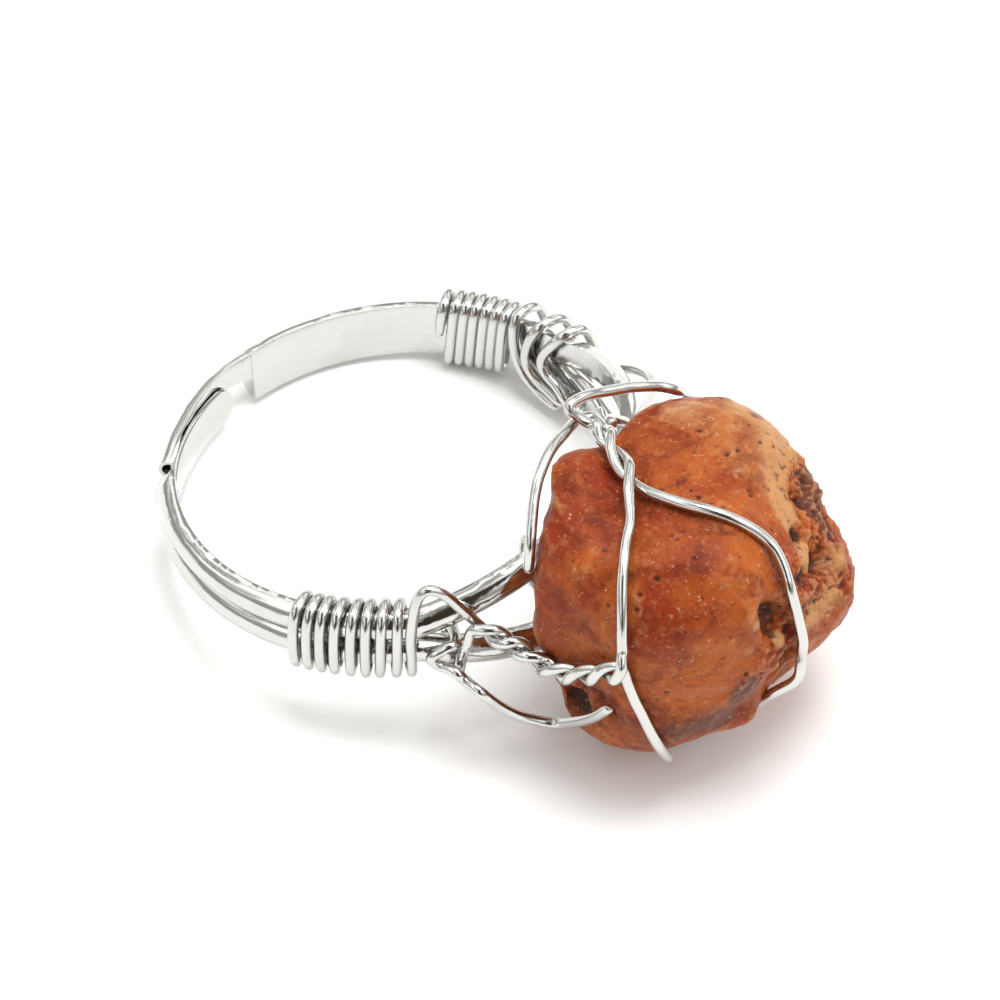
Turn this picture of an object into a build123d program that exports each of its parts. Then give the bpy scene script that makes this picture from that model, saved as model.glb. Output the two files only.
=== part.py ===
from build123d import *
import os
from math import acos, cos, degrees, exp, pi, radians, sin, sqrt

# A wire wrapped ring: a rough tumbled stone tied with thin wire to an open, adjustable band.
# It is modelled with the hoop flat, +X towards the middle of the band's split front and +Z
# along the finger, and is then laid on its side as it rests by itself. Lengths are in mm and
# angles in degrees. The near arm is the one on the -Y side, the far arm the one on the +Y side.

# Band
finger_diameter = 17.5       # inside the hoop
band_thickness = 0.75        # inner face to the crown of a rail
strip_thickness = 0.3        # flat base under the rails
back_width = 2.35            # both rails together, at the back
shoulder_width = 2.5         # both rails together, at the shoulders
near_shoulder_angle = 68.0   # the rails part here, each side of the front
far_shoulder_angle = 62.0
rail_spread = 2.0            # extra height of each rail's middle at the very front
near_arm_end = 198.0         # the near arm's rails stop here
far_arm_end = 150.0          # the far arm steps down to its outer tongue here
inner_tongue_end = 158.0     # the near arm's flat strip runs on to here, inside the far arm
inner_tongue_width = 1.65
inner_tongue_thickness = 0.2
near_arm_taper = 6.0         # the near arm's rails rise out of its strip over this angle
tongue_wall = 0.14           # round the pocket in the end of the far arm's outer tongue
pocket_angle = 5.0           # how far that pocket goes in

# Wire
wire_diameter = 0.4
wire_gap = 0.05              # left between a wire and what it lies on
winding_lift = 0.31          # from the band to the middle of a wire wound round it
inner_squareness = 5.0       # shape of a turn, 2 being round, where it lies inside the band
outer_squareness = 2.6
near_coil_start = -98.8
near_turns = -8.4            # it goes down on the inside
near_turn_angle = 3.42
near_coil_lean = 0.3         # angle that a turn's top and bottom lie off its middle
far_coil_start = 97.3
far_turns = 6.5
far_turn_angle = -2.95
far_coil_lean = -1.4
wire_sides = 6
points_per_turn = 16
route_steps = 3              # points from one station of a route to the next
twist_steps = 2              # and along the middle of a twist
near_hook_angle = -38.0      # where the wire up the stone's left side hooks on to the upper rail
lower_tie_angle = -31.0      # where it ends on the lower one
far_hook_angle = 30.0        # where the wire over the stone's top ends
near_twist_turns = -2.75
upper_twist_turns = 0.9

# Stone
stone_depth = 9.6            # along the way out from the hoop
stone_length = 12.6          # along the hoop
stone_height = 11.8          # along the finger
stone_bearing = -18.0        # the stone sits a little to the near side of the front
stone_side_step = 0.5
stone_rise = 0.5
stone_columns = 44
stone_rows = 24
facet_sharpness = 15.0

# Lie of the ring on a table
rest_tilt = 7.7
rest_roll = -9.0

inner_radius = finger_diameter / 2
outer_radius = inner_radius + band_thickness
band_middle = inner_radius + band_thickness / 2
wire_radius = wire_diameter / 2
seat_lift = wire_radius + wire_gap
twist_radius = wire_radius + wire_gap * 0.7

# Sections of the far arm's outer tongue, from inside the arm's end to its own tip. The depths
# are shares of the band's thickness, and the width and the drop of its back width.
OUTER_TONGUE = [
    # angle, depth of its flat side, depth of its crown, width, drop of its top edge
    (147.5, 0.05, 0.98, 0.55, 0.01), (150.5, 0.05, 0.99, 0.52, 0.01),
    (153.0, 0.11, 1.03, 0.47, 0.02), (156.5, 0.36, 1.09, 0.45, 0.04),
    (163.0, 0.36, 1.17, 0.43, 0.09), (171.0, 0.36, 1.22, 0.41, 0.18),
    (180.0, 0.36, 1.24, 0.39, 0.27), (189.0, 0.36, 1.23, 0.36, 0.37),
]

# How far each turn of the two coils has slipped along the band from an even spacing, in degrees
NEAR_COIL_SLIPS = [0, -0.2, -0.3, -0.8, -0.5, -0.1, -0.6, -0.1, 0, 0]
FAR_COIL_SLIPS = [0, -0.4, -0.3, -0.2, -0.2, -0.1, 0, 0]

# Faces of the stone: the way they look, and how far they lie from the stone's middle as a
# share of the stone's own reach that way
STONE_FACES = [
    # azimuth from the way out, elevation, distance
    (180, -4, 0.91), (190, 50, 1.40), (180, -50, 1.15),
    (228, 8, 1.32), (224, -40, 1.42),
    (266, -4, 0.99), (255, 46, 1.31), (268, -45, 1.20),
    (312, -6, 0.94), (312, -50, 1.04), (306, 42, 1.13),
    (330, 84, 1.01), (0, -82, 0.95),
    (345, -35, 0.81), (10, 2, 0.95), (18, 42, 0.94), (22, -46, 0.83),
    (58, 14, 0.90), (78, 48, 1.14), (60, -35, 0.88),
    (104, 6, 0.98), (120, -40, 1.08), (140, 50, 1.31), (140, 0, 1.26),
]

# Lumps and hollows of the stone
STONE_DENTS = [
    # azimuth, elevation, height as a share of the stone's depth, width in degrees
    (24, 4, 0.09, 15), (20, 28, -0.05, 8), (201, 44, 0.13, 12), (187, 43, 0.05, 8),
    (188, 58, -0.05, 12), (222, 62, -0.05, 12), (258, 52, -0.045, 11), (266, 34, -0.03, 10),
    (334, 20, -0.10, 11), (344, -10, -0.07, 10), (245, -20, -0.04, 9),
]

# Routes of the wires. A station beside the band is given by its depth, from -1 where a wire
# rests on the inner face to +1 where it rests on the outer one, its angle from the front, and
# its height, from -1 where a wire rests under the lower rail to +1 on top of the upper one.
# A station on the stone is given by its azimuth, its elevation and its lift off the stone's
# surface in wire diameters.
NEAR_ARCH = [
    # depth, angle, height
    (1.24, -70.0, 0.35), (1.24, -69.3, 0.90), (1.24, -68.5, 1.40), (1.20, -67.6, 1.72),
    (1.18, -66.4, 1.87), (1.18, -64.8, 1.87), (1.20, -62.7, 1.68), (1.22, -60.7, 1.40),
    (1.22, -58.3, 0.97),
]
NEAR_TWIST_START = [(1.56, -55.9, 0.47)]
NEAR_TWIST = [
    # azimuth, elevation, lift
    (230, 2.3, 4.8), (232.5, 1.4, 3.3), (235, 0.4, 2.3), (238, -1, 1.7), (242, -3, 1.2),
    (247.5, -2.2, 1.2), (253, 0, 1.2), (259, 3.4, 1.2), (264.5, 6.7, 1.2), (269.5, 10.3, 1.2),
]
CUT_TAIL = [
    (273.5, 13.5, 0.65), (275, 7, 0.65), (276.6, -1, 0.65), (278.4, -8, 0.65),
    (280.4, -17.5, 0.65), (282, -27, 0.65), (282.2, -40.5, 1.2),
]
LOWER_HOOK_UP = [
    # depth, angle, height
    (1.42, -60.0, -0.62), (1.48, -59.5, -0.36), (1.52, -58.9, -0.12), (1.75, -58.0, 0.12),
]
ACROSS_STONE = [
    # azimuth, elevation, lift
    (273.5, 10.5, 2.0), (275.9, 15.2, 1.9), (275.3, 18, 1.4), (274.5, 21, 0.65),
    (273.6, 30, 0.65), (270.8, 38, 0.65), (265.7, 47, 0.65), (260, 52.4, 0.65),
    (253, 58.3, 0.65), (242.4, 62, 0.9), (229.5, 64.7, 1.6),
]
UPPER_TWIST = [
    (215, 65.6, 1.2), (203, 63, 1.2), (192, 59.4, 1.2), (185.5, 56.2, 1.3), (181.6, 54, 1.6),
]
SHARP_LOOP = [
    (182.5, 52.0, 1.8), (183, 50.9, 2.2), (184.0, 50.4, 2.9), (184.9, 50.4, 3.6),
    (184.0, 50.8, 4.3), (180.0, 51.3, 4.6), (174.2, 51.2, 4.4), (168.7, 50.5, 3.9),
    (162, 50, 3.15), (155, 49, 2.5), (148.5, 48, 1.9), (142, 46, 1.4), (138, 45, 1.0),
    (134.5, 43, 0.65), (131, 37, 0.65), (128, 27, 0.65), (124, 12, 0.8),
]
LEFT_OF_STONE = [
    # azimuth, elevation, lift
    (231, 24, 0.7), (231, 33, 0.85), (223.5, 39, 1.15), (219, 41.6, 1.25), (213.3, 44.5, 1.1),
    (202.7, 47.6, 0.9), (192, 48.0, 1.35), (185.7, 47.5, 2.1), (181, 47.0, 2.8),
    (177, 47.3, 2.9), (175, 48.4, 2.3),
]
OUTWARD = [
    (223, 66.5, 0.65), (243, 70, 0.65), (280, 72.5, 0.65), (313, 70.3, 0.65),
    (335.5, 63.5, 0.65), (347, 54, 0.65), (347, 45, 0.65), (344, 33.5, 0.65),
    (346, 15.5, 0.65), (346, 2, 0.65), (350, -10, 1.2), (348, -22, 1.5), (340, -35, 0.8),
    (334, -51, 0.65), (318, -65, 0.65), (280, -71, 0.65), (243, -65, 0.65), (222, -54, 0.9),
]
LOOSE_TURNS = [
    # depth, angle, height
    (1.3, 76.0, -0.65), (0.9, 71.5, -1.08), (-0.2, 65.0, -1.32), (-1.1, 61.5, -1.32),
    (-1.25, 64.0, -1.24), (-1.25, 67.6, -1.10), (-1.25, 71.2, -0.80), (-1.25, 73.6, -0.42),
    (-1.22, 74.8, 0.0), (-1.15, 75.0, 0.5), (-1.05, 74.7, 0.88), (-0.6, 74.2, 1.10),
    (0.3, 73.5, 1.10), (1.1, 72.7, 0.88), (1.40, 71.3, 0.2), (1.4, 68.3, -0.6),
    (1.0, 65.0, -1.02), (0.1, 61.0, -1.10), (-0.8, 59.3, -1.06), (-1.22, 60.5, -0.98),
    (-1.22, 63.5, -0.90), (-1.22, 67.0, -0.75), (-1.22, 70.3, -0.45), (-1.22, 71.4, -0.08),
    (-1.20, 70.5, 0.35), (-1.15, 68.6, 0.80), (-0.7, 66.8, 1.08), (0.2, 65.8, 1.10),
    (1.1, 64.8, 0.88), (1.35, 63.5, 0.2), (1.4, 61.0, -0.50), (1.0, 58.3, -0.98),
    (0.1, 56.4, -1.10), (-0.8, 55.9, -1.02), (-1.22, 57.0, -0.72),
    (-1.22, 60.3, -0.50), (-1.22, 64.0, -0.33), (-1.22, 65.8, 0.0), (-1.22, 64.2, 0.42),
    (-1.15, 61.4, 0.80), (-0.8, 59.0, 1.06), (0.0, 57.8, 1.09), (0.9, 57.2, 0.92),
    (1.30, 56.6, 0.30), (1.38, 55.2, -0.20), (1.34, 53.3, -0.33),
]
FAR_ARCH = [
    (1.24, 50.9, -0.13), (1.30, 48.4, 0.17), (1.40, 43.5, 0.45), (1.56, 36.8, 0.68),
    (1.72, 30.8, 0.81), (1.70, 26.5, 0.84), (1.50, 21.0, 0.95),
]
BEHIND_STONE = [
    # azimuth, elevation, lift
    (150, 30, 2.5), (158, 40, 1.6), (165, 46, 1.3), (170.0, 49.0, 1.4), (172.0, 51.8, 0.75),
]
UNDER_STONE = [
    (1.5, -29.8, -1.36), (0.75, -30.4, -1.12),
]
RAIL_CURL = [
    # depth, angle, height
    (-1.3, -59.4, 0.06), (-0.4, -59.5, 0.0), (0.6, -59.6, 0.03), (1.28, -60.6, 0.05),
    (1.34, -61.8, 0.05),
    (1.36, -63.3, -0.02), (1.36, -65.0, -0.10), (1.36, -65.9, -0.22), (1.38, -65.3, -0.36),
    (1.50, -63.8, -0.45), (1.90, -62.2, -0.42), (2.35, -60.8, -0.44), (2.4, -59.6, -0.62),
]
LOWER_TAIL = [
    # azimuth, elevation, lift
    (234.3, -10.5, 6.7), (234.2, -17, 5.6), (234.2, -23, 4.3), (235.0, -28, 2.7),
    (238, -31.8, 1.1), (245, -29, 0.65), (256.5, -20.8, 0.65), (266, -10, 0.65),
]


def unit_vector(azimuth, elevation):
    """A direction in the stone's own axes: out from the hoop, along it, and up."""
    flat = cos(radians(elevation))
    return Vector(
        flat * cos(radians(azimuth)), flat * sin(radians(azimuth)), sin(radians(elevation))
    )


def half_extent(direction):
    """How far an egg of the stone's three sizes reaches in a direction."""
    return sqrt(
        (direction.X * stone_depth / 2) ** 2
        + (direction.Y * stone_length / 2) ** 2
        + (direction.Z * stone_height / 2) ** 2
    )


stone_face_planes = [
    (unit_vector(azimuth, elevation), share * half_extent(unit_vector(azimuth, elevation)))
    for azimuth, elevation, share in STONE_FACES
]
stone_dent_places = [
    (unit_vector(azimuth, elevation), share * stone_depth, width)
    for azimuth, elevation, share, width in STONE_DENTS
]


def stone_reach(direction):
    """Distance from the stone's middle to its surface, where its faces meet in soft edges."""
    pressed = sum(
        max(0.0, direction.dot(normal) / distance) ** facet_sharpness
        for normal, distance in stone_face_planes
    )
    reach = pressed ** (-1 / facet_sharpness)
    for middle, height, width in stone_dent_places:
        apart = degrees(acos(max(-1.0, min(1.0, direction.dot(middle)))))
        reach += height * exp(-((apart / width) ** 2))
    return reach


def on_hoop(radius, angle, height):
    """A point at a radius and an angle about the hoop's middle."""
    return Vector(radius * cos(radians(angle)), radius * sin(radians(angle)), height)


def rail_middle(angle):
    """Height of a rail's middle above the band's mid-plane, at an angle from the front."""
    parted = max(0.0, 1 - abs(angle) / (far_shoulder_angle if angle > 0 else near_shoulder_angle))
    return shoulder_width / 4 + rail_spread * sin(radians(90 * parted))


rail_top = rail_middle(0) + shoulder_width / 4

# The stone is pushed in along its bearing until it all but touches the parted rails
stone_rings = [
    [
        unit_vector(360 * column / stone_columns, 180 * row / stone_rows - 90)
        for column in range(stone_columns)
    ]
    for row in range(1, stone_rows)
]


def outward_to_clear(direction):
    """How far out the stone's middle lies when this part of its surface clears the rails."""
    along = direction.Y * stone_reach(direction) + stone_side_step
    rails_out = sqrt(max(0.0, (outer_radius + wire_gap) ** 2 - along**2))
    return rails_out - direction.X * stone_reach(direction)


stone_out = max(
    outward_to_clear(direction)
    for ring in stone_rings
    for direction in ring
    if abs(direction.Z * stone_reach(direction) + stone_rise) < rail_top + wire_gap
)
stone_axes = Plane(
    origin=(0, 0, 0),
    x_dir=(cos(radians(stone_bearing)), sin(radians(stone_bearing)), 0),
    z_dir=(0, 0, 1),
)
stone_middle = stone_axes.from_local_coords(Vector(stone_out, stone_side_step, stone_rise))


def off_stone(direction, lift):
    """A point at a height off the stone's surface, in a direction of the stone's own axes."""
    reach = stone_reach(direction) + lift
    return stone_middle + stone_axes.from_local_coords(direction * reach)


def clear_of_stone(point):
    """The same point, or one pushed out of the stone until a wire there clears it."""
    away = stone_axes.to_local_coords(point - stone_middle)
    direction = away.normalized()
    if away.length >= stone_reach(direction) + seat_lift:
        return point
    return off_stone(direction, seat_lift)


def on_stone(stations):
    """Points over the stone, from a table of azimuth, elevation and lift."""
    return [
        off_stone(unit_vector(azimuth, elevation), lift * wire_diameter)
        for azimuth, elevation, lift in stations
    ]


def by_band(stations):
    """Points beside the band, from a table of depth, angle and height."""
    return [
        on_hoop(
            band_middle + depth * (band_thickness / 2 + seat_lift),
            angle,
            height * (rail_middle(angle) + shoulder_width / 4 + seat_lift),
        )
        for depth, angle, height in stations
    ]


def smooth_route(points, steps):
    """More points along an even curve through the given ones, so many steps to each."""
    ends = [points[0] * 2 - points[1]] + points + [points[-1] * 2 - points[-2]]
    route = []
    for before, start, stop, after in zip(ends, ends[1:], ends[2:], ends[3:]):
        for step in range(steps):
            t = step / steps
            leaving = before * 2 - start * 5 + stop * 4 - after
            turning = start * 3 - before - stop * 3 + after
            route.append((start * 2 + (stop - before) * t + leaving * t**2 + turning * t**3) * 0.5)
    return [clear_of_stone(point) for point in route + [points[-1]]]


def frames_along(route, upward):
    """Two ways square to a route at each of its points, the first one starting out upward."""
    frames = []
    for index in range(len(route)):
        ahead = route[min(index + 1, len(route) - 1)]
        behind = route[max(index - 1, 0)]
        along = (ahead - behind).normalized()
        upward = (upward - along * upward.dot(along)).normalized()
        frames.append((upward, along.cross(upward)))
    return frames


def pressed(swing, squareness):
    """A sine or cosine, pressed outwards so that a circle becomes a rounded box."""
    return abs(swing) ** (2 / squareness) * (1 if swing > 0 else -1)


def slipped(turn, slips):
    """Angle that a coil has slipped by at a turn, from a list with a value for each turn."""
    if not slips:
        return 0
    whole = int(turn)
    return slips[whole] + (slips[whole + 1] - slips[whole]) * (turn - whole)


def winding(side, start_angle, start_turn, turns, advance, lean, slips=()):
    """Points of a wire wound round one rail, or round both where side is 0.

    A turn starts inside the band and goes over the top. Where turns is negative it goes under
    first. The wire advances by so many degrees a turn, lean leads a turn's top ahead, and slips
    tell how far each turn has moved along the band from that.
    """
    half_depth = band_thickness / 2 + winding_lift
    points = []
    steps = round(abs(turns) * points_per_turn)
    for step in range(steps + 1):
        turn = start_turn + turns * step / steps
        squareness = outer_squareness if cos(2 * pi * turn) < 0 else inner_squareness
        outward = pressed(-cos(2 * pi * turn), squareness)
        upward = pressed(sin(2 * pi * turn), squareness)
        turned = abs(turn - start_turn)
        angle = start_angle + advance * turned + lean * upward + slipped(turned, slips)
        if side == 0:
            height = (rail_middle(angle) + shoulder_width / 4 + winding_lift) * upward
        else:
            height = side * rail_middle(angle) + (shoulder_width / 4 + winding_lift) * upward
        points.append(on_hoop(band_middle + half_depth * outward, angle, height))
    return points


def twisted_strand(axis, turns, start):
    """One of two wires twisted round each other along an axis, start being a share of a turn."""
    strand = []
    frames = frames_along(axis, Vector(0, 0, 1))
    for index, (point, (upward, across)) in enumerate(zip(axis, frames)):
        swing = 2 * pi * (start + turns * index / (len(axis) - 1))
        strand.append(point + (upward * cos(swing) + across * sin(swing)) * twist_radius)
    return [clear_of_stone(point) for point in strand]


def triangle(first, second, third):
    """A flat face on three points."""
    return Face(Wire.make_polygon([first, second, third]))


def closed_solid(rings):
    """A solid with flat faces over rings of points, closed at both ends."""
    faces = []
    for ring, following in zip(rings, rings[1:]):
        for side in range(len(ring)):
            beside = (side + 1) % len(ring)
            faces.append(triangle(ring[side], ring[beside], following[beside]))
            faces.append(triangle(ring[side], following[beside], following[side]))
    for end in (rings[0], rings[-1]):
        middle = sum(end, Vector(0, 0, 0)) / len(end)
        for side in range(len(end)):
            faces.append(triangle(middle, end[side], end[(side + 1) % len(end)]))
    return Solid(Shell(faces))


def wire_along(route):
    """A length of wire along a route."""
    rings = [
        [
            point
            + upward * (wire_radius * cos(2 * pi * side / wire_sides))
            + across * (wire_radius * sin(2 * pi * side / wire_sides))
            for side in range(wire_sides)
        ]
        for point, (upward, across) in zip(route, frames_along(route, Vector(0.3, 0.5, 0.8)))
    ]
    return closed_solid(rings)


def hoop_section(angle):
    """A plane across the band at an angle, its X out from the inner face and its Y up."""
    return Plane(
        origin=on_hoop(inner_radius, angle, 0),
        x_dir=on_hoop(1, angle, 0),
        z_dir=on_hoop(1, angle - 90, 0),
    )


def rail_pair(angle, width, crown):
    """Section of the band where its two rails, so deep, lie side by side on the base strip."""
    foot = strip_thickness * crown / band_thickness
    with BuildSketch(hoop_section(angle)) as section:
        with BuildLine():
            Polyline((foot, width / 2), (0, width / 2), (0, -width / 2), (foot, -width / 2))
            ThreePointArc((foot, -width / 2), (crown, -width / 4), (foot, 0))
            ThreePointArc((foot, 0), (crown, width / 4), (foot, width / 2))
        make_face()
    return section.sketch


def single_rail(angle, side):
    """Section of one parted rail, side being +1 for the upper and -1 for the lower one."""
    low = side * rail_middle(angle) - shoulder_width / 4
    high = side * rail_middle(angle) + shoulder_width / 4
    with BuildSketch(hoop_section(angle)) as section:
        with BuildLine():
            Polyline((strip_thickness, high), (0, high), (0, low), (strip_thickness, low))
            ThreePointArc(
                (strip_thickness, low), (band_thickness, (low + high) / 2), (strip_thickness, high)
            )
        make_face()
    return section.sketch


def tongue_section(angle, foot, crown, width, drop, wall):
    """Section of the outer tongue or, where a wall is given, of the pocket inside it."""
    high = (0.5 - drop) * back_width - wall
    low = (0.5 - drop - width) * back_width + wall
    flat = foot * band_thickness + wall
    top = crown * band_thickness - wall
    flank = flat + (top - flat) * 0.3
    with BuildSketch(hoop_section(angle)) as section:
        with BuildLine():
            Polyline((flank, high), (flat, high), (flat, low), (flank, low))
            ThreePointArc((flank, low), (top, (low + high) / 2), (flank, high))
        make_face()
    return section.sketch


# The band is one piece of metal: two arms, two parted rails between them and two tongues
near_arm_turn = 360 - near_arm_end - near_arm_taper - near_shoulder_angle
far_arm_turn = far_arm_end - far_shoulder_angle
arm_sections = 4
rail_sections = 8
rail_angles = [
    (near_shoulder_angle + far_shoulder_angle) * index / rail_sections - near_shoulder_angle
    for index in range(rail_sections + 1)
]
tongue_tip = OUTER_TONGUE[-1]
with BuildPart() as band:
    loft(
        [
            rail_pair(
                near_arm_end - 360 + near_arm_taper * share,
                back_width,
                inner_tongue_thickness + (band_thickness - inner_tongue_thickness) * depth,
            )
            for share, depth in ((0, 0.35), (0.4, 0.8), (1, 1))
        ]
    )
    loft(
        [
            rail_pair(
                near_arm_end - 360 + near_arm_taper + near_arm_turn * index / arm_sections,
                back_width + (shoulder_width - back_width) * index / arm_sections,
                band_thickness,
            )
            for index in range(arm_sections + 1)
        ]
    )
    loft([single_rail(angle, 1) for angle in rail_angles])
    loft([single_rail(angle, -1) for angle in rail_angles])
    loft(
        [
            rail_pair(
                far_shoulder_angle + far_arm_turn * index / arm_sections,
                shoulder_width + (back_width - shoulder_width) * index / arm_sections,
                band_thickness,
            )
            for index in range(arm_sections + 1)
        ]
    )
    loft([tongue_section(*row, 0) for row in OUTER_TONGUE], ruled=True)
    loft(
        [
            tongue_section(tongue_tip[0] - pocket_angle * share, *tongue_tip[1:], tongue_wall)
            for share in (-0.05, 1)
        ],
        mode=Mode.SUBTRACT,
    )
    with BuildSketch(hoop_section(inner_tongue_end)):
        with Locations((inner_tongue_thickness / 2, (inner_tongue_width - back_width) / 2)):
            Rectangle(inner_tongue_thickness, inner_tongue_width)
    revolve(axis=Axis.Z, revolution_arc=near_arm_end - inner_tongue_end)
    tongue_corners = band.edges().filter_by(
        lambda edge: abs(edge.length - inner_tongue_thickness) < 0.001
        and (edge.center() - on_hoop(inner_radius, inner_tongue_end, 0)).length
        < inner_tongue_width * 0.8
    )
    fillet(tongue_corners, inner_tongue_width * 0.45)
band.part.label = "band"

with BuildPart() as stone:
    add(
        closed_solid([[off_stone(direction, 0) for direction in ring] for ring in stone_rings])
    )
stone.part.label = "stone"

# Two wires are twisted together at the near side of the stone, and two at its top
near_twist_axis = smooth_route(by_band(NEAR_TWIST_START) + on_stone(NEAR_TWIST), twist_steps)
upper_twist_axis = smooth_route(on_stone(UPPER_TWIST), twist_steps)

near_shoulder_route = winding(
    0, near_coil_start, 0, near_turns, near_turn_angle, near_coil_lean, NEAR_COIL_SLIPS
) + smooth_route(
    by_band(NEAR_ARCH)
    + twisted_strand(near_twist_axis, near_twist_turns, -0.25)
    + on_stone(CUT_TAIL),
    route_steps,
)
cross_route = winding(-1, -61.2, 0.05, -0.5, 2.0, 0) + smooth_route(
    by_band(LOWER_HOOK_UP)
    + twisted_strand(near_twist_axis, near_twist_turns, 0.25)
    + on_stone(ACROSS_STONE)
    + twisted_strand(upper_twist_axis, upper_twist_turns, 0.0)
    + on_stone(SHARP_LOOP)
    + winding(-1, far_hook_angle, 0.5, 0.68, 4.0, 0)[::3],
    route_steps,
)
outer_route = winding(1, near_hook_angle, -0.3, 0.55, 3.0, 0) + smooth_route(
    on_stone(LEFT_OF_STONE)
    + twisted_strand(list(reversed(upper_twist_axis)), upper_twist_turns, 0.6)
    + on_stone(OUTWARD)
    + by_band(UNDER_STONE)
    + winding(-1, lower_tie_angle, 0.76, 0.42, -3.0, 0),
    route_steps,
)
far_shoulder_route = winding(
    0, far_coil_start, 0, far_turns, far_turn_angle, far_coil_lean, FAR_COIL_SLIPS
) + smooth_route(by_band(LOOSE_TURNS) + by_band(FAR_ARCH) + on_stone(BEHIND_STONE), route_steps)
lower_tail_route = smooth_route(by_band(RAIL_CURL) + on_stone(LOWER_TAIL), route_steps)

with BuildPart() as near_shoulder_wire:
    add(wire_along(near_shoulder_route))
near_shoulder_wire.part.label = "near_shoulder_wire"

with BuildPart() as cross_wire:
    add(wire_along(cross_route))
cross_wire.part.label = "cross_wire"

with BuildPart() as outer_wire:
    add(wire_along(outer_route))
outer_wire.part.label = "outer_wire"

with BuildPart() as far_shoulder_wire:
    add(wire_along(far_shoulder_route))
far_shoulder_wire.part.label = "far_shoulder_wire"

with BuildPart() as lower_tail_wire:
    add(wire_along(lower_tail_route))
lower_tail_wire.part.label = "lower_tail_wire"

# The ring is laid on its side, tilted as it rests on a table, with the middle of its foot at
# the origin
pieces = [
    band,
    stone,
    near_shoulder_wire,
    cross_wire,
    outer_wire,
    far_shoulder_wire,
    lower_tail_wire,
]
lie = Location((0, 0, 0), (rest_roll, -rest_tilt, 0))
boxes = [(lie * piece.part).bounding_box() for piece in pieces]
low = [min(getattr(box.min, axis) for box in boxes) for axis in "XYZ"]
high = [max(getattr(box.max, axis) for box in boxes) for axis in "XYZ"]
stand = Location((-(low[0] + high[0]) / 2, -(low[1] + high[1]) / 2, -low[2]))
os.makedirs("parts", exist_ok=True)
for piece in pieces:
    name = piece.part.label
    piece.part = stand * lie * piece.part
    piece.part.label = name
    export_step(piece.part, f"parts/{name}.step")
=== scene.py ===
import logging
import math
from dataclasses import dataclass
from enum import Enum

import bpy
import numpy as np
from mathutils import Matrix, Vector, noise


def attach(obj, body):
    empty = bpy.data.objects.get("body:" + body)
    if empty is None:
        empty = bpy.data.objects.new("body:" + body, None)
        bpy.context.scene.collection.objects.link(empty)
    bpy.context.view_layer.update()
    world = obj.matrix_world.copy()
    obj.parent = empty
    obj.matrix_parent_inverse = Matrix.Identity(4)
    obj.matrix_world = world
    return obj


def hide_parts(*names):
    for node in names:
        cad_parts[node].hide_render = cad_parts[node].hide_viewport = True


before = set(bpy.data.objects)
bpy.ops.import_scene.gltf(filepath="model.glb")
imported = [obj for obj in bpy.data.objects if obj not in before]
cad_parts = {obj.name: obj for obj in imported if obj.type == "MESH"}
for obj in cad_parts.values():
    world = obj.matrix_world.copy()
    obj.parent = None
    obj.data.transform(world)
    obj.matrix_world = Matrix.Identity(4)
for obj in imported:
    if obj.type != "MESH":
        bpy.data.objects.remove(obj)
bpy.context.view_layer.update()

logging.basicConfig(level=logging.INFO, format="%(message)s")
log = logging.getLogger("wire_wrapped_ring")

MM = 0.001
WELD_DISTANCE = 0.002 * MM
# The middle of the hoop in the frame, in millimetres. The stone and the camera are placed from it.
HOOP_MIDDLE = Vector((-4.706, 0.182, 3.251))


class Gloss(Enum):
    """How a silver surface was finished."""

    PLATED = "plated"
    DRAWN = "drawn"


def select_only(piece: bpy.types.Object) -> None:
    """Deselect everything, then select one piece and make it active.

    Args:
        piece: The object that the next operators work on.
    """
    bpy.ops.object.select_all(action="DESELECT")
    piece.select_set(True)
    bpy.context.view_layer.objects.active = piece


def copy_of_node(node: str, name: str) -> bpy.types.Object:
    """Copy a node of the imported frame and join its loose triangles.

    Args:
        node: The node's name.
        name: The copy's name.

    Returns:
        The copy, with its own mesh and no material.
    """
    select_only(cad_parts[node])
    bpy.ops.object.duplicate()
    piece = bpy.context.active_object
    piece.name = name
    piece.data.name = name
    piece.data.materials.clear()
    bpy.ops.object.mode_set(mode="EDIT")
    bpy.ops.mesh.select_all(action="SELECT")
    bpy.ops.mesh.remove_doubles(threshold=WELD_DISTANCE)
    bpy.ops.object.mode_set(mode="OBJECT")
    return piece


def apply_modifier(piece: bpy.types.Object, name: str, kind: str, **settings: object) -> None:
    """Add a modifier to a piece and apply it.

    Args:
        piece: The object to change.
        name: The modifier's name.
        kind: The modifier's type.
        **settings: Values for the modifier's properties.
    """
    select_only(piece)
    modifier = piece.modifiers.new(name, kind)
    for setting, value in settings.items():
        setattr(modifier, setting, value)
    bpy.ops.object.modifier_apply(modifier=modifier.name)


def direction(azimuth: float, elevation: float) -> np.ndarray:
    """Turn a bearing and an elevation into a unit direction.

    Args:
        azimuth: The bearing, in degrees.
        elevation: The elevation, in degrees.

    Returns:
        The direction.
    """
    azimuth, elevation = math.radians(azimuth), math.radians(elevation)
    return np.array([
        math.cos(elevation) * math.cos(azimuth),
        math.cos(elevation) * math.sin(azimuth),
        math.sin(elevation),
    ])


def read_vectors(elements: bpy.types.bpy_prop_collection, name: str) -> np.ndarray:
    """Read a vector of every element of a mesh.

    Args:
        elements: The mesh's vertices or the like.
        name: The vector's name.

    Returns:
        The vectors, one a row.
    """
    values = np.empty(len(elements) * 3)
    elements.foreach_get(name, values)
    return values.reshape(-1, 3)


def new_material(name: str) -> tuple[bpy.types.Material, bpy.types.NodeTree, bpy.types.Node]:
    """Make an empty node material.

    Args:
        name: The material's name.

    Returns:
        The material, its node tree and its shader node.
    """
    material = bpy.data.materials.new(name)
    material.use_nodes = True
    tree = material.node_tree
    return material, tree, tree.nodes["Principled BSDF"]


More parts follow.
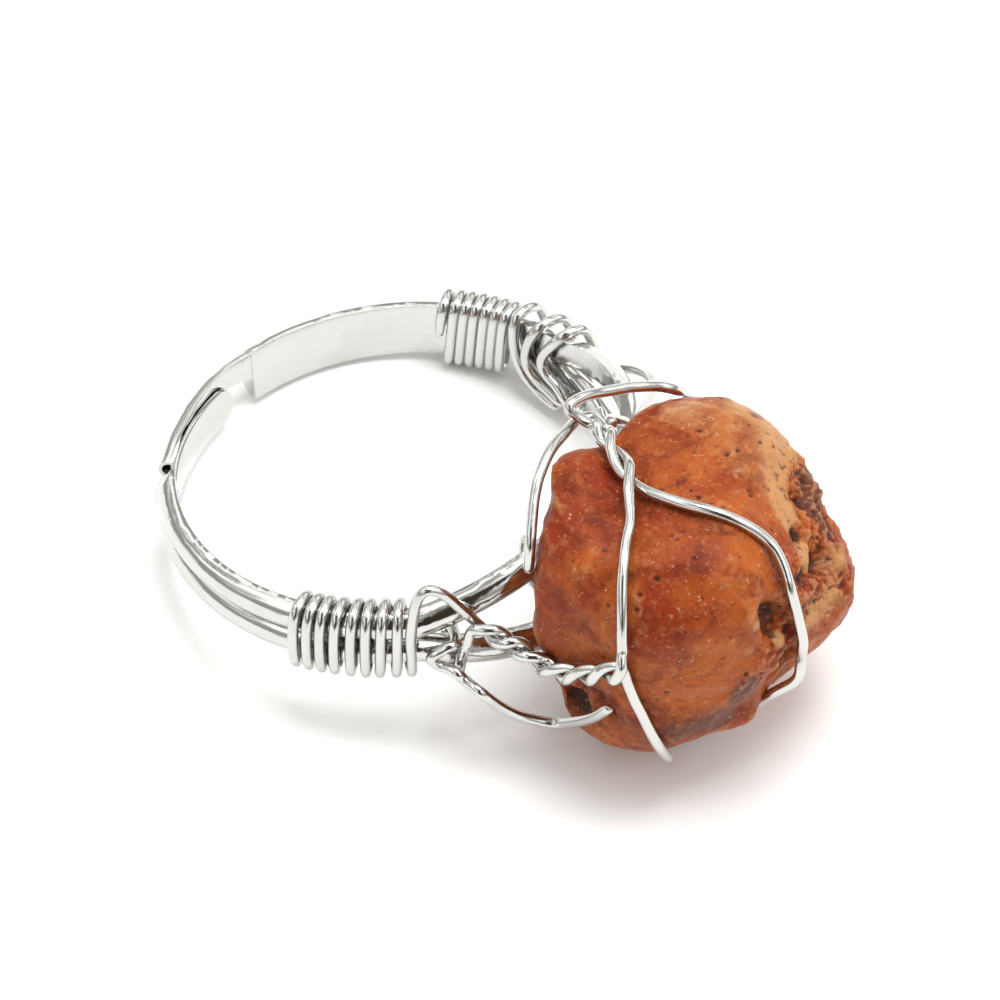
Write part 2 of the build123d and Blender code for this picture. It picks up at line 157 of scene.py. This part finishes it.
def object_coordinates(tree: bpy.types.NodeTree) -> bpy.types.NodeSocket:
    """Give a tree the coordinates of the piece itself, in metres.

    Args:
        tree: The material's node tree.

    Returns:
        The socket with the coordinates.
    """
    return tree.nodes.new("ShaderNodeTexCoord").outputs["Object"]


def noise_socket(
    tree: bpy.types.NodeTree, place: bpy.types.NodeSocket, size: float, detail: float = 3.0,
    roughness: float = 0.55, distortion: float = 0.0
) -> bpy.types.NodeSocket:
    """Add a noise texture whose lumps have a size.

    Args:
        tree: The material's node tree.
        place: The coordinates that the noise reads.
        size: The size of a lump, in millimetres.
        detail: The number of finer layers.
        roughness: The strength of each finer layer.
        distortion: How far the lumps are pulled about.

    Returns:
        The noise's value.
    """
    texture = tree.nodes.new("ShaderNodeTexNoise")
    texture.inputs["Scale"].default_value = 1 / (size * MM)
    texture.inputs["Detail"].default_value = detail
    texture.inputs["Roughness"].default_value = roughness
    texture.inputs["Distortion"].default_value = distortion
    tree.links.new(place, texture.inputs["Vector"])
    return texture.outputs["Fac"]


def ramp_socket(
    tree: bpy.types.NodeTree, value: bpy.types.NodeSocket, stops: list[tuple[float, float]]
) -> bpy.types.NodeSocket:
    """Map a value through a grey ramp.

    Args:
        tree: The material's node tree.
        value: The value to map.
        stops: Places on the ramp, each with its grey.

    Returns:
        The mapped value.
    """
    ramp = tree.nodes.new("ShaderNodeValToRGB")
    ramp.color_ramp.elements.remove(ramp.color_ramp.elements[0])
    for index, (place, grey) in enumerate(stops):
        stop = ramp.color_ramp.elements[0] if index == 0 else ramp.color_ramp.elements.new(place)
        stop.position = place
        stop.color = (grey, grey, grey, 1)
    tree.links.new(value, ramp.inputs["Fac"])
    return ramp.outputs["Color"]


def combined(
    tree: bpy.types.NodeTree, first: bpy.types.NodeSocket, second: bpy.types.NodeSocket | float,
    operation: str = "MULTIPLY"
) -> bpy.types.NodeSocket:
    """Join two values by a sum, a product or the like.

    Args:
        tree: The material's node tree.
        first: The first value.
        second: The second value, a socket or a number.
        operation: The math node's operation.

    Returns:
        The result.
    """
    node = tree.nodes.new("ShaderNodeMath")
    node.operation = operation
    node.use_clamp = True
    tree.links.new(first, node.inputs[0])
    if isinstance(second, float):
        node.inputs[1].default_value = second
    else:
        tree.links.new(second, node.inputs[1])
    return node.outputs[0]


def mixed(
    tree: bpy.types.NodeTree, share: bpy.types.NodeSocket, under: object, over: object
) -> bpy.types.NodeSocket:
    """Mix two colours.

    Args:
        tree: The material's node tree.
        share: How much of the second colour shows.
        under: The first colour, a socket or three numbers.
        over: The second colour, a socket or three numbers.

    Returns:
        The mixed colour.
    """
    mix = tree.nodes.new("ShaderNodeMix")
    mix.data_type = "RGBA"
    tree.links.new(share, mix.inputs["Factor"])
    for socket, colour in ((mix.inputs[6], under), (mix.inputs[7], over)):
        if isinstance(colour, bpy.types.NodeSocket):
            tree.links.new(colour, socket)
        else:
            socket.default_value = (*colour, 1)
    return mix.outputs[2]


def bumped(
    tree: bpy.types.NodeTree, heights: list[tuple[bpy.types.NodeSocket, float]]
) -> bpy.types.NodeSocket:
    """Lay bumps over each other.

    Args:
        tree: The material's node tree.
        heights: Each layer's height and its depth in millimetres.

    Returns:
        The normal to give to the shader.
    """
    normal = None
    for height, depth in heights:
        bump = tree.nodes.new("ShaderNodeBump")
        bump.inputs["Strength"].default_value = 1.0
        bump.inputs["Distance"].default_value = depth * MM
        tree.links.new(height, bump.inputs["Height"])
        if normal is not None:
            tree.links.new(normal, bump.inputs["Normal"])
        normal = bump.outputs["Normal"]
    return normal


@dataclass(frozen=True)
class SilverFinish:
    """Bright silver, either plated on the band or drawn as wire."""

    name: str
    gloss: Gloss
    colour: tuple[float, float, float] = (0.62, 0.62, 0.60)
    tarnish: tuple[float, float, float] = (0.45, 0.44, 0.40)
    cloud_size: float = 2.2
    cloud_depth: float = 0.03
    scratch_size: float = 0.12

    def roughness(self) -> tuple[float, float]:
        """Give the roughness of the brightest and of the dullest places."""
        return (0.07, 0.16) if self.gloss is Gloss.PLATED else (0.12, 0.24)

    def scratch_depth(self) -> float:
        """Give the depth of the fine scratches, in millimetres."""
        return 0.002 if self.gloss is Gloss.PLATED else 0.004

    def material(self) -> bpy.types.Material:
        """Build the finish as a node material."""
        material, tree, shader = new_material(self.name)
        place = object_coordinates(tree)
        cloud = noise_socket(tree, place, self.cloud_size, 4)
        scratches = noise_socket(tree, place, self.scratch_size, 3, 0.6)
        share = ramp_socket(tree, cloud, [(0.52, 0.0), (0.82, 0.5)])
        colour = mixed(tree, share, self.colour, self.tarnish)
        tree.links.new(colour, shader.inputs["Base Color"])
        bright, dull = self.roughness()
        rough = ramp_socket(tree, cloud, [(0.3, bright), (0.75, dull)])
        tree.links.new(rough, shader.inputs["Roughness"])
        shader.inputs["Metallic"].default_value = 1.0
        layers = [(scratches, self.scratch_depth()), (cloud, self.cloud_depth)]
        normal = bumped(tree, layers)
        tree.links.new(normal, shader.inputs["Normal"])
        return material


@dataclass(frozen=True)
class CarnelianFinish:
    """Tumbled carnelian: waxy, orange red, with pale and dark patches and specks, painted shade in
    its hollows, painted highlights on its ridges and painted glints.
    """

    name: str = "carnelian"
    body: tuple[float, float, float] = (0.25, 0.032, 0.007)
    bright: tuple[float, float, float] = (0.42, 0.100, 0.018)
    deep: tuple[float, float, float] = (0.13, 0.016, 0.006)
    pale: tuple[float, float, float] = (0.50, 0.25, 0.10)
    # Brownish tint for the dark patches and for the painted shade in the hollows and recesses.
    brown_and_shade: tuple[float, float, float] = (0.042, 0.013, 0.007)
    violet: tuple[float, float, float] = (0.115, 0.036, 0.022)
    speck: tuple[float, float, float] = (0.040, 0.009, 0.006)
    # Pale pink of the painted glints.
    painted_glint: tuple[float, float, float] = (0.66, 0.36, 0.22)
    broad_size: float = 3.0
    cloud_size: float = 1.2
    mottle_size: float = 0.45
    dot_size: float = 0.26
    grain_size: float = 0.16
    mottle_depth: float = 0.05
    dot_depth: float = -0.04
    grain_depth: float = 0.035
    ragged_level: float = 0.62
    sheen: float = 0.13
    glow: float = 0.10
    glow_depth: float = 0.6
    glow_tint: tuple[float, float, float] = (1.0, 0.25, 0.1)

    def material(self) -> bpy.types.Material:
        """Build the finish as a node material."""
        material, tree, shader = new_material(self.name)
        place = object_coordinates(tree)
        broad = noise_socket(tree, place, self.broad_size, 3, 0.5, 0.5)
        cloud = noise_socket(tree, place, self.cloud_size, 5, 0.62, 0.8)
        mottle = noise_socket(tree, place, self.mottle_size, 5, 0.65)
        grain = noise_socket(tree, place, self.grain_size, 3, 0.6)
        dots = noise_socket(tree, place, self.dot_size, 2, 0.5)
        patch = tree.nodes.new("ShaderNodeAttribute")
        patch.attribute_name = "patches"
        parts = tree.nodes.new("ShaderNodeSeparateColor")
        tree.links.new(patch.outputs["Color"], parts.inputs["Color"])
        relief = tree.nodes.new("ShaderNodeAttribute")
        relief.attribute_name = "relief"

        share = ramp_socket(tree, broad, [(0.38, 0.0), (0.62, 1.0)])
        colour = mixed(tree, share, self.body, self.bright)
        share = ramp_socket(tree, cloud, [(0.48, 0.0), (0.68, 0.8)])
        colour = mixed(tree, share, colour, self.deep)
        share = ramp_socket(tree, mottle, [(0.56, 0.0), (0.72, 0.35)])
        colour = mixed(tree, share, colour, self.pale)
        ragged = combined(
            tree, combined(tree, cloud, mottle, "ADD"), self.ragged_level, "SUBTRACT"
        )
        # The green channel lays the brownish tint where the dark spots lie: partly real dark
        # patches, partly painted shade in the hollows.
        for socket, tint, most in (
            ("Red", self.pale, 0.92), ("Blue", self.violet, 0.9), ("Green", self.brown_and_shade, 0.95)
        ):
            edge = combined(tree, parts.outputs[socket], ragged, "SUBTRACT")
            share = ramp_socket(tree, edge, [(0.08, 0.0), (0.42, most)])
            colour = mixed(tree, share, colour, tint)
        # Painted highlight: proud ridges and knobs of the relief are made paler.
        painted_ridge_highlight = ramp_socket(tree, relief.outputs["Fac"], [(0.60, 0.0), (0.95, 0.55)])
        colour = mixed(tree, painted_ridge_highlight, colour, self.pale)
        # Painted shade: recessed spots of the relief are darkened towards the brownish tint.
        painted_recess_shade = ramp_socket(tree, relief.outputs["Fac"], [(0.10, 0.8), (0.40, 0.0)])
        colour = mixed(tree, painted_recess_shade, colour, self.brown_and_shade)
        share = ramp_socket(tree, dots, [(0.66, 0.0), (0.74, 0.7)])
        colour = mixed(tree, share, colour, self.speck)
        # Painted glints: fine pale pink specks stand in for the stone's sparkles.
        share = ramp_socket(tree, grain, [(0.63, 0.0), (0.73, 0.75)])
        colour = mixed(tree, share, colour, self.painted_glint)
        tree.links.new(colour, shader.inputs["Base Color"])

        rough = ramp_socket(tree, cloud, [(0.3, 0.28), (0.75, 0.50)])
        tree.links.new(rough, shader.inputs["Roughness"])
        shader.inputs["Specular IOR Level"].default_value = self.sheen
        shader.inputs["Subsurface Weight"].default_value = self.glow
        shader.inputs["Subsurface Radius"].default_value = self.glow_tint
        shader.inputs["Subsurface Scale"].default_value = self.glow_depth * MM
        normal = bumped(tree, [
            (mottle, self.mottle_depth), (grain, self.grain_depth), (dots, self.dot_depth)
        ])
        tree.links.new(normal, shader.inputs["Normal"])
        return material


@dataclass(frozen=True)
class FloorFinish:
    """A plain pale table."""

    name: str = "pale_table"
    colour: tuple[float, float, float] = (0.94, 0.94, 0.93)
    lighter: float = 1.03
    cloud_size: float = 9.0

    def material(self) -> bpy.types.Material:
        """Build the finish as a node material."""
        material, tree, shader = new_material(self.name)
        place = object_coordinates(tree)
        cloud = noise_socket(tree, place, self.cloud_size, 2)
        tone = ramp_socket(tree, cloud, [(0.2, 0.0), (0.8, 1.0)])
        paler = tuple(min(1.0, part * self.lighter) for part in self.colour)
        tree.links.new(mixed(tree, tone, self.colour, paler), shader.inputs["Base Color"])
        shader.inputs["Roughness"].default_value = 0.8
        shader.inputs["Specular IOR Level"].default_value = 0.2
        return material


@dataclass(frozen=True)
class StoneSpot:
    """A soft round spot on the stone, by its direction from the middle, in degrees."""

    azimuth: float
    elevation: float
    width: float
    amount: float

    def aim(self) -> np.ndarray:
        """Give the unit direction of the spot in the stone's own axes."""
        return direction(self.azimuth, self.elevation)


@dataclass(frozen=True)
class NoiseLayer:
    """One layer of the stone's uneven surface, its depth in millimetres."""

    scale: float
    offset: tuple[float, float, float] = (0, 0, 0)
    depth: float = 1.0

    def place(self, point: Vector) -> Vector:
        """Give the place in the noise of a point in millimetres."""
        return point * self.scale + Vector(self.offset)


@dataclass
class Stone:
    """The rough tumbled stone.

    Lengths are in millimetres. Each face is a direction and a share of the half sizes' reach.
    """

    from_hoop: tuple[float, float, float] = (13.544, -3.523, 2.923)
    outward: tuple[float, float, float] = (0.94248, -0.28528, 0.1742)
    along: tuple[float, float, float] = (0.30623, 0.94582, -0.10788)
    upward: tuple[float, float, float] = (-0.13399, 0.15502, 0.97878)
    half_depth: float = 4.8
    half_length: float = 6.3
    half_height: float = 5.9
    soft_edges: float = 15.0
    worn_edges: float = 42.0
    filed: float = 0.982
    mesh_step: float = 0.085
    tumble_passes: int = 20
    swell: NoiseLayer = NoiseLayer(0.55, depth=0.10)
    lumps: NoiseLayer = NoiseLayer(1.3, (7, 3, 5), 0.06)
    peel: NoiseLayer = NoiseLayer(2.8, (5, 2, 9), 0.022)
    fine: NoiseLayer = NoiseLayer(7.0, depth=0.012)
    pitted: NoiseLayer = NoiseLayer(0.7, (2, 6, 1))
    pits: NoiseLayer = NoiseLayer(1.6, (3, 1, 8), -0.35)
    pit_width: float = 0.25
    rough: NoiseLayer = NoiseLayer(1.3, (1, 9, 4), 0.24)
    rough_octaves: int = 4
    rough_fine: float = 0.03
    rough_sink: float = 0.13
    relief_passes: int = 6
    relief_span: float = 0.08
    faces: tuple[tuple[float, float, float], ...] = (
        (180, -4, 0.91), (190, 50, 1.40), (180, -50, 1.15),
        (228, 8, 1.32), (224, -40, 1.42),
        (266, -4, 0.99), (255, 46, 1.31), (268, -45, 1.20),
        (312, -6, 0.94), (312, -50, 1.04), (306, 42, 1.13),
        (330, 84, 1.01), (0, -82, 0.95),
        (345, -35, 0.81), (10, 2, 0.95), (18, 42, 0.94), (22, -46, 0.83),
        (58, 14, 0.90), (78, 48, 1.14), (60, -35, 0.88),
        (104, 6, 0.98), (120, -40, 1.08), (140, 50, 1.31), (140, 0, 1.26),
    )
    hollows: tuple[StoneSpot, ...] = (
        StoneSpot(332, 30, 5.0, -0.55), StoneSpot(333, 22, 5.0, -0.35),
        StoneSpot(345, -10, 5.5, -0.50), StoneSpot(338, -2, 3.5, -0.25),
        StoneSpot(20, 27, 4.5, -0.50), StoneSpot(21, 45, 5.0, -0.35), StoneSpot(2, 30, 4.5, -0.30),
        StoneSpot(48, 46, 5.0, -0.30), StoneSpot(60, 44, 5.0, -0.25),
        StoneSpot(243, -25, 6.0, -0.38), StoneSpot(256, -15, 4.5, -0.30),
        StoneSpot(262, -19, 3.0, -0.22), StoneSpot(181, 41, 6.0, -0.32),
        StoneSpot(209, 22, 3.5, -0.35), StoneSpot(233, 14, 4.0, -0.20),
        StoneSpot(186, 57, 6.0, -0.25), StoneSpot(211, 61, 6.5, -0.25),
        StoneSpot(236, 59, 6.5, -0.22), StoneSpot(257, 51, 6.0, -0.22),
        StoneSpot(264, 40, 5.0, -0.15), StoneSpot(266, 27, 5.0, -0.12),
        StoneSpot(160, -20, 9.0, -0.45), StoneSpot(110, -30, 8.0, -0.40),
        StoneSpot(80, -12, 6.0, -0.30),
    )
    knobs: tuple[StoneSpot, ...] = (
        StoneSpot(322, 32, 3.5, 0.10), StoneSpot(319, 18, 4.0, 0.10), StoneSpot(336, 12, 3.5, 0.22),
        StoneSpot(115, 48, 4.0, 0.15), StoneSpot(77, 58, 4.0, 0.10), StoneSpot(37, 57, 4.0, 0.08),
        StoneSpot(309, -43, 12, 0.45), StoneSpot(323, -43, 11, 0.50),
        StoneSpot(234, 9, 12, 0.35), StoneSpot(70, 37, 9, 0.25),
    )
    coarse: tuple[StoneSpot, ...] = (
        StoneSpot(62, 42, 16, 1.0), StoneSpot(40, 38, 14, 1.0), StoneSpot(15, 22, 18, 1.0),
        StoneSpot(350, 28, 14, 1.0), StoneSpot(338, 8, 13, 0.9), StoneSpot(345, -14, 12, 1.0),
        StoneSpot(246, -22, 12, 0.9), StoneSpot(320, -5, 9, 0.5), StoneSpot(181, 41, 9, 0.7),
        StoneSpot(120, -20, 40, 0.7), StoneSpot(60, -10, 30, 0.7), StoneSpot(0, -60, 30, 0.5),
    )
    pale: tuple[StoneSpot, ...] = (
        StoneSpot(84, 44, 11, 1.0), StoneSpot(70, 56, 7, 0.8), StoneSpot(52, 59, 5, 0.7),
        StoneSpot(36, 56, 7, 0.8), StoneSpot(24, 52, 8, 0.7), StoneSpot(14, 36, 9, 0.9),
        StoneSpot(30, 20, 9, 0.7), StoneSpot(12, 10, 12, 0.7), StoneSpot(357, 10, 9, 0.6),
        StoneSpot(324, 27, 3.5, 0.9), StoneSpot(336, 13, 4.0, 1.0), StoneSpot(330, 6, 4.0, 0.6),
        StoneSpot(104, 50, 9, 0.5), StoneSpot(140, 58, 9, 0.35), StoneSpot(195, 40, 8, 0.45),
        StoneSpot(244, -12, 8, 0.5), StoneSpot(262, -8, 5, 0.5), StoneSpot(100, -10, 30, 0.5),
        StoneSpot(150, -50, 25, 0.4), StoneSpot(120, 66, 22, 0.42), StoneSpot(40, 72, 18, 0.40),
    )
    # Dark spots, mostly on the hollows above: painted shade in the hollows, partly real dark
    # patches.
    dark: tuple[StoneSpot, ...] = (
        StoneSpot(332, 29, 6.0, 1.0), StoneSpot(345, -10, 7.5, 1.0), StoneSpot(338, 0, 4.0, 0.8),
        StoneSpot(20, 27, 4.0, 1.0), StoneSpot(21, 45, 5.0, 1.0), StoneSpot(0, 32, 6.0, 0.9),
        StoneSpot(243, -25, 8.0, 1.0), StoneSpot(256, -16, 5.0, 0.6), StoneSpot(181, 41, 7.0, 0.7),
        StoneSpot(209, 22, 4.0, 0.9), StoneSpot(236, 14, 5.0, 0.7), StoneSpot(257, 36, 12, 0.35),
        StoneSpot(236, 56, 7.0, 0.4), StoneSpot(312, 4, 16, 0.3), StoneSpot(80, -12, 12, 0.6),
        StoneSpot(160, -20, 14, 0.6),
    )
    violet: tuple[StoneSpot, ...] = (
        StoneSpot(55, 40, 8.0, 1.0), StoneSpot(64, 36, 8.0, 1.0), StoneSpot(46, 36, 7.0, 1.0),
        StoneSpot(38, 28, 6.0, 0.8), StoneSpot(319, -3, 8.0, 0.9), StoneSpot(318, -14, 8.0, 0.8),
        StoneSpot(97, 52, 4.5, 0.8), StoneSpot(200, 70, 9.0, 0.35), StoneSpot(308, -30, 14, 0.5),
        StoneSpot(120, -55, 20, 0.5), StoneSpot(278, -24, 17, 0.55), StoneSpot(300, -22, 13, 0.45),
    )

    def middle(self) -> np.ndarray:
        """Give the stone's middle in millimetres."""
        return np.array(HOOP_MIDDLE + Vector(self.from_hoop))

    def directions(self, points: np.ndarray) -> np.ndarray:
        """Express points as unit directions from the stone's middle, in its own axes.

        Args:
            points: Positions in metres, one a row.

        Returns:
            The directions, one a row.
        """
        away = points / MM - self.middle()
        local = away @ np.array([self.outward, self.along, self.upward]).T
        return local / np.linalg.norm(local, axis=1)[:, None]

    def spread(self, ways: np.ndarray, spots: tuple[StoneSpot, ...]) -> np.ndarray:
        """Sum soft round spots at each direction.

        Args:
            ways: Unit directions, one a row.
            spots: The spots to sum.

        Returns:
            The sum at each direction.
        """
        total = np.zeros(len(ways))
        for spot in spots:
            apart = np.degrees(np.arccos(np.clip(ways @ spot.aim(), -1, 1)))
            total += spot.amount * np.exp(-((apart / spot.width) ** 2))
        return total

    def reach(self, ways: np.ndarray, sharpness: float) -> np.ndarray:
        """Give the distance to the surface of the faceted stone.

        Args:
            ways: Unit directions, one a row.
            sharpness: How sharp the edges between the faces are.

        Returns:
            The distance at each direction, in millimetres.
        """
        pressed = np.zeros(len(ways))
        for azimuth, elevation, share in self.faces:
            normal = direction(azimuth, elevation)
            half = 1 / np.linalg.norm(
                normal / np.array([self.half_depth, self.half_length, self.half_height])
            )
            pressed += np.clip(ways @ normal / (share * half), 0, None) ** sharpness
        return pressed ** (-1 / sharpness)

    def carve(self, piece: bpy.types.Object) -> None:
        """File the faces flat, press the hollows in and roughen the surface.

        Args:
            piece: The stone's mesh object.
        """
        mesh = piece.data
        points = read_vectors(mesh.vertices, "co")
        normals = read_vectors(mesh.vertices, "normal")
        ways = self.directions(points)
        filed = self.filed * self.reach(ways, self.worn_edges) / self.reach(ways, self.soft_edges)
        middle = self.middle() * MM
        points = middle + (points - middle) * np.minimum(filed, 1.0)[:, None]
        coarse = np.clip(self.spread(ways, self.coarse), 0, 1)
        push = self.spread(ways, self.hollows) + self.spread(ways, self.knobs)
        for index, point in enumerate(points / MM):
            place = Vector(point)
            swell, lumps, peel, fine, pitted = (
                noise.noise(layer.place(place))
                for layer in (self.swell, self.lumps, self.peel, self.fine, self.pitted)
            )
            rough = noise.turbulence(self.rough.place(place), self.rough_octaves, False)
            nearest_pit = noise.voronoi(self.pits.place(place))[0][0]
            inside_pit = max(0.0, 1 - nearest_pit / self.pit_width)
            push[index] += (
                self.swell.depth * swell + self.lumps.depth * lumps + self.peel.depth * peel
                + self.fine.depth * fine + self.pits.depth * max(0.0, pitted) * inside_pit
            )
            push[index] += coarse[index] * (
                self.rough.depth * rough + self.rough_fine * fine - self.rough_sink
            )
        points += normals * push[:, None] * MM
        mesh.vertices.foreach_set("co", points.ravel())
        mesh.update()

    def paint(self, piece: bpy.types.Object) -> None:
        """Store the patches of colour, the dark ones partly painted shade in the hollows, and the
        relief, which places painted shade and painted highlights, as attributes.

        Args:
            piece: The stone's mesh object.
        """
        mesh = piece.data
        points = read_vectors(mesh.vertices, "co")
        normals = read_vectors(mesh.vertices, "normal")
        ways = self.directions(points)
        colours = np.ones((len(ways), 4))
        for channel, spots in enumerate((self.pale, self.dark, self.violet)):
            colours[:, channel] = np.clip(self.spread(ways, spots), 0, 1)
        layer = mesh.color_attributes.new("patches", "FLOAT_COLOR", "POINT")
        layer.data.foreach_set("color", colours.ravel())

        pairs = np.empty(len(mesh.edges) * 2, dtype=np.int32)
        mesh.edges.foreach_get("vertices", pairs)
        first, second = pairs.reshape(-1, 2).T
        count = np.bincount(pairs, minlength=len(points))[:, None]
        smooth = points.copy()
        for _ in range(self.relief_passes):
            total = np.zeros_like(points)
            np.add.at(total, first, smooth[second])
            np.add.at(total, second, smooth[first])
            smooth = total / count
        proud = np.einsum("ij,ij->i", points - smooth, normals) / MM
        relief = np.clip(0.5 + proud / self.relief_span, 0, 1)
        store = mesh.attributes.new("relief", "FLOAT", "POINT")
        store.data.foreach_set("value", relief)

    def build(self, finish: CarnelianFinish) -> bpy.types.Object:
        """Make the stone around its CAD solid.

        Args:
            finish: The stone's finish.

        Returns:
            The finished piece.
        """
        piece = copy_of_node("stone", "rough_stone")
        apply_modifier(piece, "even_mesh", "REMESH", mode="VOXEL", voxel_size=self.mesh_step * MM)
        apply_modifier(piece, "tumbled", "SMOOTH", factor=0.5, iterations=self.tumble_passes)
        self.carve(piece)
        self.paint(piece)
        piece.data.materials.append(finish.material())
        select_only(piece)
        bpy.ops.object.shade_smooth()
        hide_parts("stone")
        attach(piece, "root")
        return piece


@dataclass
class WrapWire:
    """One length of the wrapping wire, made thicker by a few hundredths of a millimetre."""

    node: str
    name: str
    plump: float = 0.06
    round_levels: int = 2

    def build(self, finish: SilverFinish) -> bpy.types.Object:
        """Round the wire's CAD solid off.

        Args:
            finish: The wire's finish.

        Returns:
            The finished piece.
        """
        piece = copy_of_node(self.node, self.name)
        bpy.ops.object.mode_set(mode="EDIT")
        bpy.ops.mesh.select_all(action="SELECT")
        bpy.ops.mesh.tris_convert_to_quads(face_threshold=math.pi, shape_threshold=math.pi)
        bpy.ops.transform.shrink_fatten(value=self.plump * MM)
        bpy.ops.object.mode_set(mode="OBJECT")
        apply_modifier(
            piece, "round", "SUBSURF", levels=self.round_levels, render_levels=self.round_levels
        )
        select_only(piece)
        bpy.ops.object.shade_smooth()
        piece.data.materials.append(finish.material())
        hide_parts(self.node)
        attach(piece, "root")
        return piece


@dataclass
class Band:
    """The split, adjustable band."""

    crease: float = 35.0
    edge_width: float = 0.045

    def build(self, finish: SilverFinish) -> bpy.types.Object:
        """Smooth and soften the band's CAD solid.

        Args:
            finish: The band's finish.

        Returns:
            The finished piece.
        """
        piece = copy_of_node("band", "split_band")
        apply_modifier(
            piece, "worn_edges", "BEVEL", width=self.edge_width * MM, segments=2,
            limit_method="ANGLE", angle_limit=math.radians(self.crease),
        )
        select_only(piece)
        bpy.ops.object.shade_smooth_by_angle(angle=math.radians(self.crease))
        piece.data.materials.append(finish.material())
        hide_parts("band")
        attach(piece, "root")
        return piece


@dataclass
class Studio:
    """The table, the light tent and the camera, with lengths in millimetres."""

    camera_from_hoop: tuple[float, float, float] = (46.299, -142.213, 200.329)
    camera_turn: tuple[float, float, float] = (0.637809, -0.0095, 0.301654)
    lens: float = 230.72
    sensor: float = 36.0
    nearest_seen: float = 10.0
    farthest_seen: float = 5000.0
    floor_size: float = 2000.0
    key_place: tuple[float, float, float] = (40, 60, 420)
    key_size: float = 200.0
    key_power: float = 1.1
    opening_bearing: float = -73.45
    opening_width: float = 0.30
    opening_blur: float = 0.2
    tent: tuple[float, float, float] = (1.0, 1.0, 1.0)
    fold: tuple[float, float, float] = (0.30, 0.30, 0.29)
    skirt: tuple[float, float, float] = (0.26, 0.25, 0.23)
    tent_light: float = 1.70
    fold_size: float = 0.45
    dark_room: tuple[float, float, float] = (0.035, 0.024, 0.018)

    def add_floor(self, finish: FloorFinish) -> None:
        """Lay the table under the ring.

        Args:
            finish: The table's finish.
        """
        bpy.ops.mesh.primitive_plane_add(size=self.floor_size * MM, location=(0, 0, 0))
        floor = bpy.context.active_object
        floor.name = "table"
        floor.data.materials.append(finish.material())

    def add_softbox(
        self, name: str, place: tuple[float, float, float], size: float, power: float
    ) -> None:
        """Hang a square soft light that faces the ring.

        Args:
            name: The light's name.
            place: Where it hangs, in millimetres.
            size: The length of its side, in millimetres.
            power: Its power in watts.
        """
        bpy.ops.object.light_add(type="AREA", location=Vector(place) * MM)
        light = bpy.context.active_object
        light.name = name
        light.data.size = size * MM
        light.data.energy = power
        light.rotation_euler = (-Vector(place)).to_track_quat("-Z", "Y").to_euler()

    def add_tent(self) -> None:
        """Surround the ring with a white tent whose front is open to a dark room."""
        world = bpy.data.worlds.new("light_tent")
        bpy.context.scene.world = world
        world.use_nodes = True
        tree = world.node_tree
        background = tree.nodes["Background"]
        way = tree.nodes.new("ShaderNodeTexCoord").outputs["Generated"]
        bearing = math.radians(self.opening_bearing)
        front = (math.cos(bearing), math.sin(bearing), 0)
        side = (-math.sin(bearing), math.cos(bearing), 0)
        toward = []
        for axis in (front, side, (0, 0, 1)):
            node = tree.nodes.new("ShaderNodeVectorMath")
            node.operation = "DOT_PRODUCT"
            node.inputs[1].default_value = axis
            tree.links.new(way, node.inputs[0])
            toward.append(node.outputs["Value"])
        ahead, aside, above = toward
        across = tree.nodes.new("ShaderNodeMath")
        across.operation = "ABSOLUTE"
        tree.links.new(aside, across.inputs[0])
        inner = self.opening_width * (1 - self.opening_blur)
        outer = self.opening_width * (1 + self.opening_blur)
        narrow = ramp_socket(tree, across.outputs[0], [(inner, 1.0), (outer, 0.0)])
        facing = ramp_socket(tree, ahead, [(0.10, 0.0), (0.25, 1.0)])
        tall = ramp_socket(tree, above, [(0.02, 0.0), (0.12, 1.0), (0.93, 1.0), (0.97, 0.0)])
        opening = combined(tree, combined(tree, narrow, facing), tall)
        folds = tree.nodes.new("ShaderNodeTexNoise")
        folds.inputs["Scale"].default_value = 1 / self.fold_size
        folds.inputs["Detail"].default_value = 1.0
        tree.links.new(way, folds.inputs["Vector"])
        dim = ramp_socket(tree, folds.outputs["Fac"], [(0.50, 0.0), (0.60, 1.0)])
        tent = mixed(tree, dim, self.tent, self.fold)
        hem = ramp_socket(tree, above, [(0.08, 0.0), (0.15, 1.0), (0.34, 1.0), (0.50, 0.0)])
        tent = mixed(tree, hem, tent, self.skirt)
        tree.links.new(mixed(tree, opening, tent, self.dark_room), background.inputs["Color"])
        background.inputs["Strength"].default_value = self.tent_light

    def add_camera(self) -> None:
        """Put the camera where the photograph was taken from."""
        bpy.ops.object.camera_add(
            location=(HOOP_MIDDLE + Vector(self.camera_from_hoop)) * MM, rotation=self.camera_turn
        )
        camera = bpy.context.active_object
        camera.name = "photo_camera"
        camera.data.lens = self.lens
        camera.data.sensor_width = self.sensor
        camera.data.clip_start = self.nearest_seen * MM
        camera.data.clip_end = self.farthest_seen * MM
        bpy.context.scene.camera = camera

    def build(self) -> None:
        """Set up the whole studio."""
        bpy.context.scene.view_settings.view_transform = "Standard"
        self.add_camera()
        self.add_floor(FloorFinish())
        self.add_softbox("key", self.key_place, self.key_size, self.key_power)
        self.add_tent()


def main() -> None:
    """Build the studio and the ring, piece by piece."""
    Studio().build()
    plated = SilverFinish("silver_plate", Gloss.PLATED)
    drawn = SilverFinish("silver_wire", Gloss.DRAWN)
    pieces = [Band().build(plated), Stone().build(CarnelianFinish())]
    for node, name in (
        ("near_shoulder_wire", "near_coil_wire"),
        ("cross_wire", "stone_cross_wire"),
        ("outer_wire", "stone_outer_wire"),
        ("far_shoulder_wire", "far_coil_wire"),
        ("lower_tail_wire", "rail_tail_wire"),
    ):
        pieces.append(WrapWire(node, name).build(drawn))
    for piece in pieces:
        log.info("%s: %d faces", piece.name, len(piece.data.polygons))


if __name__ == "__main__":
    main()
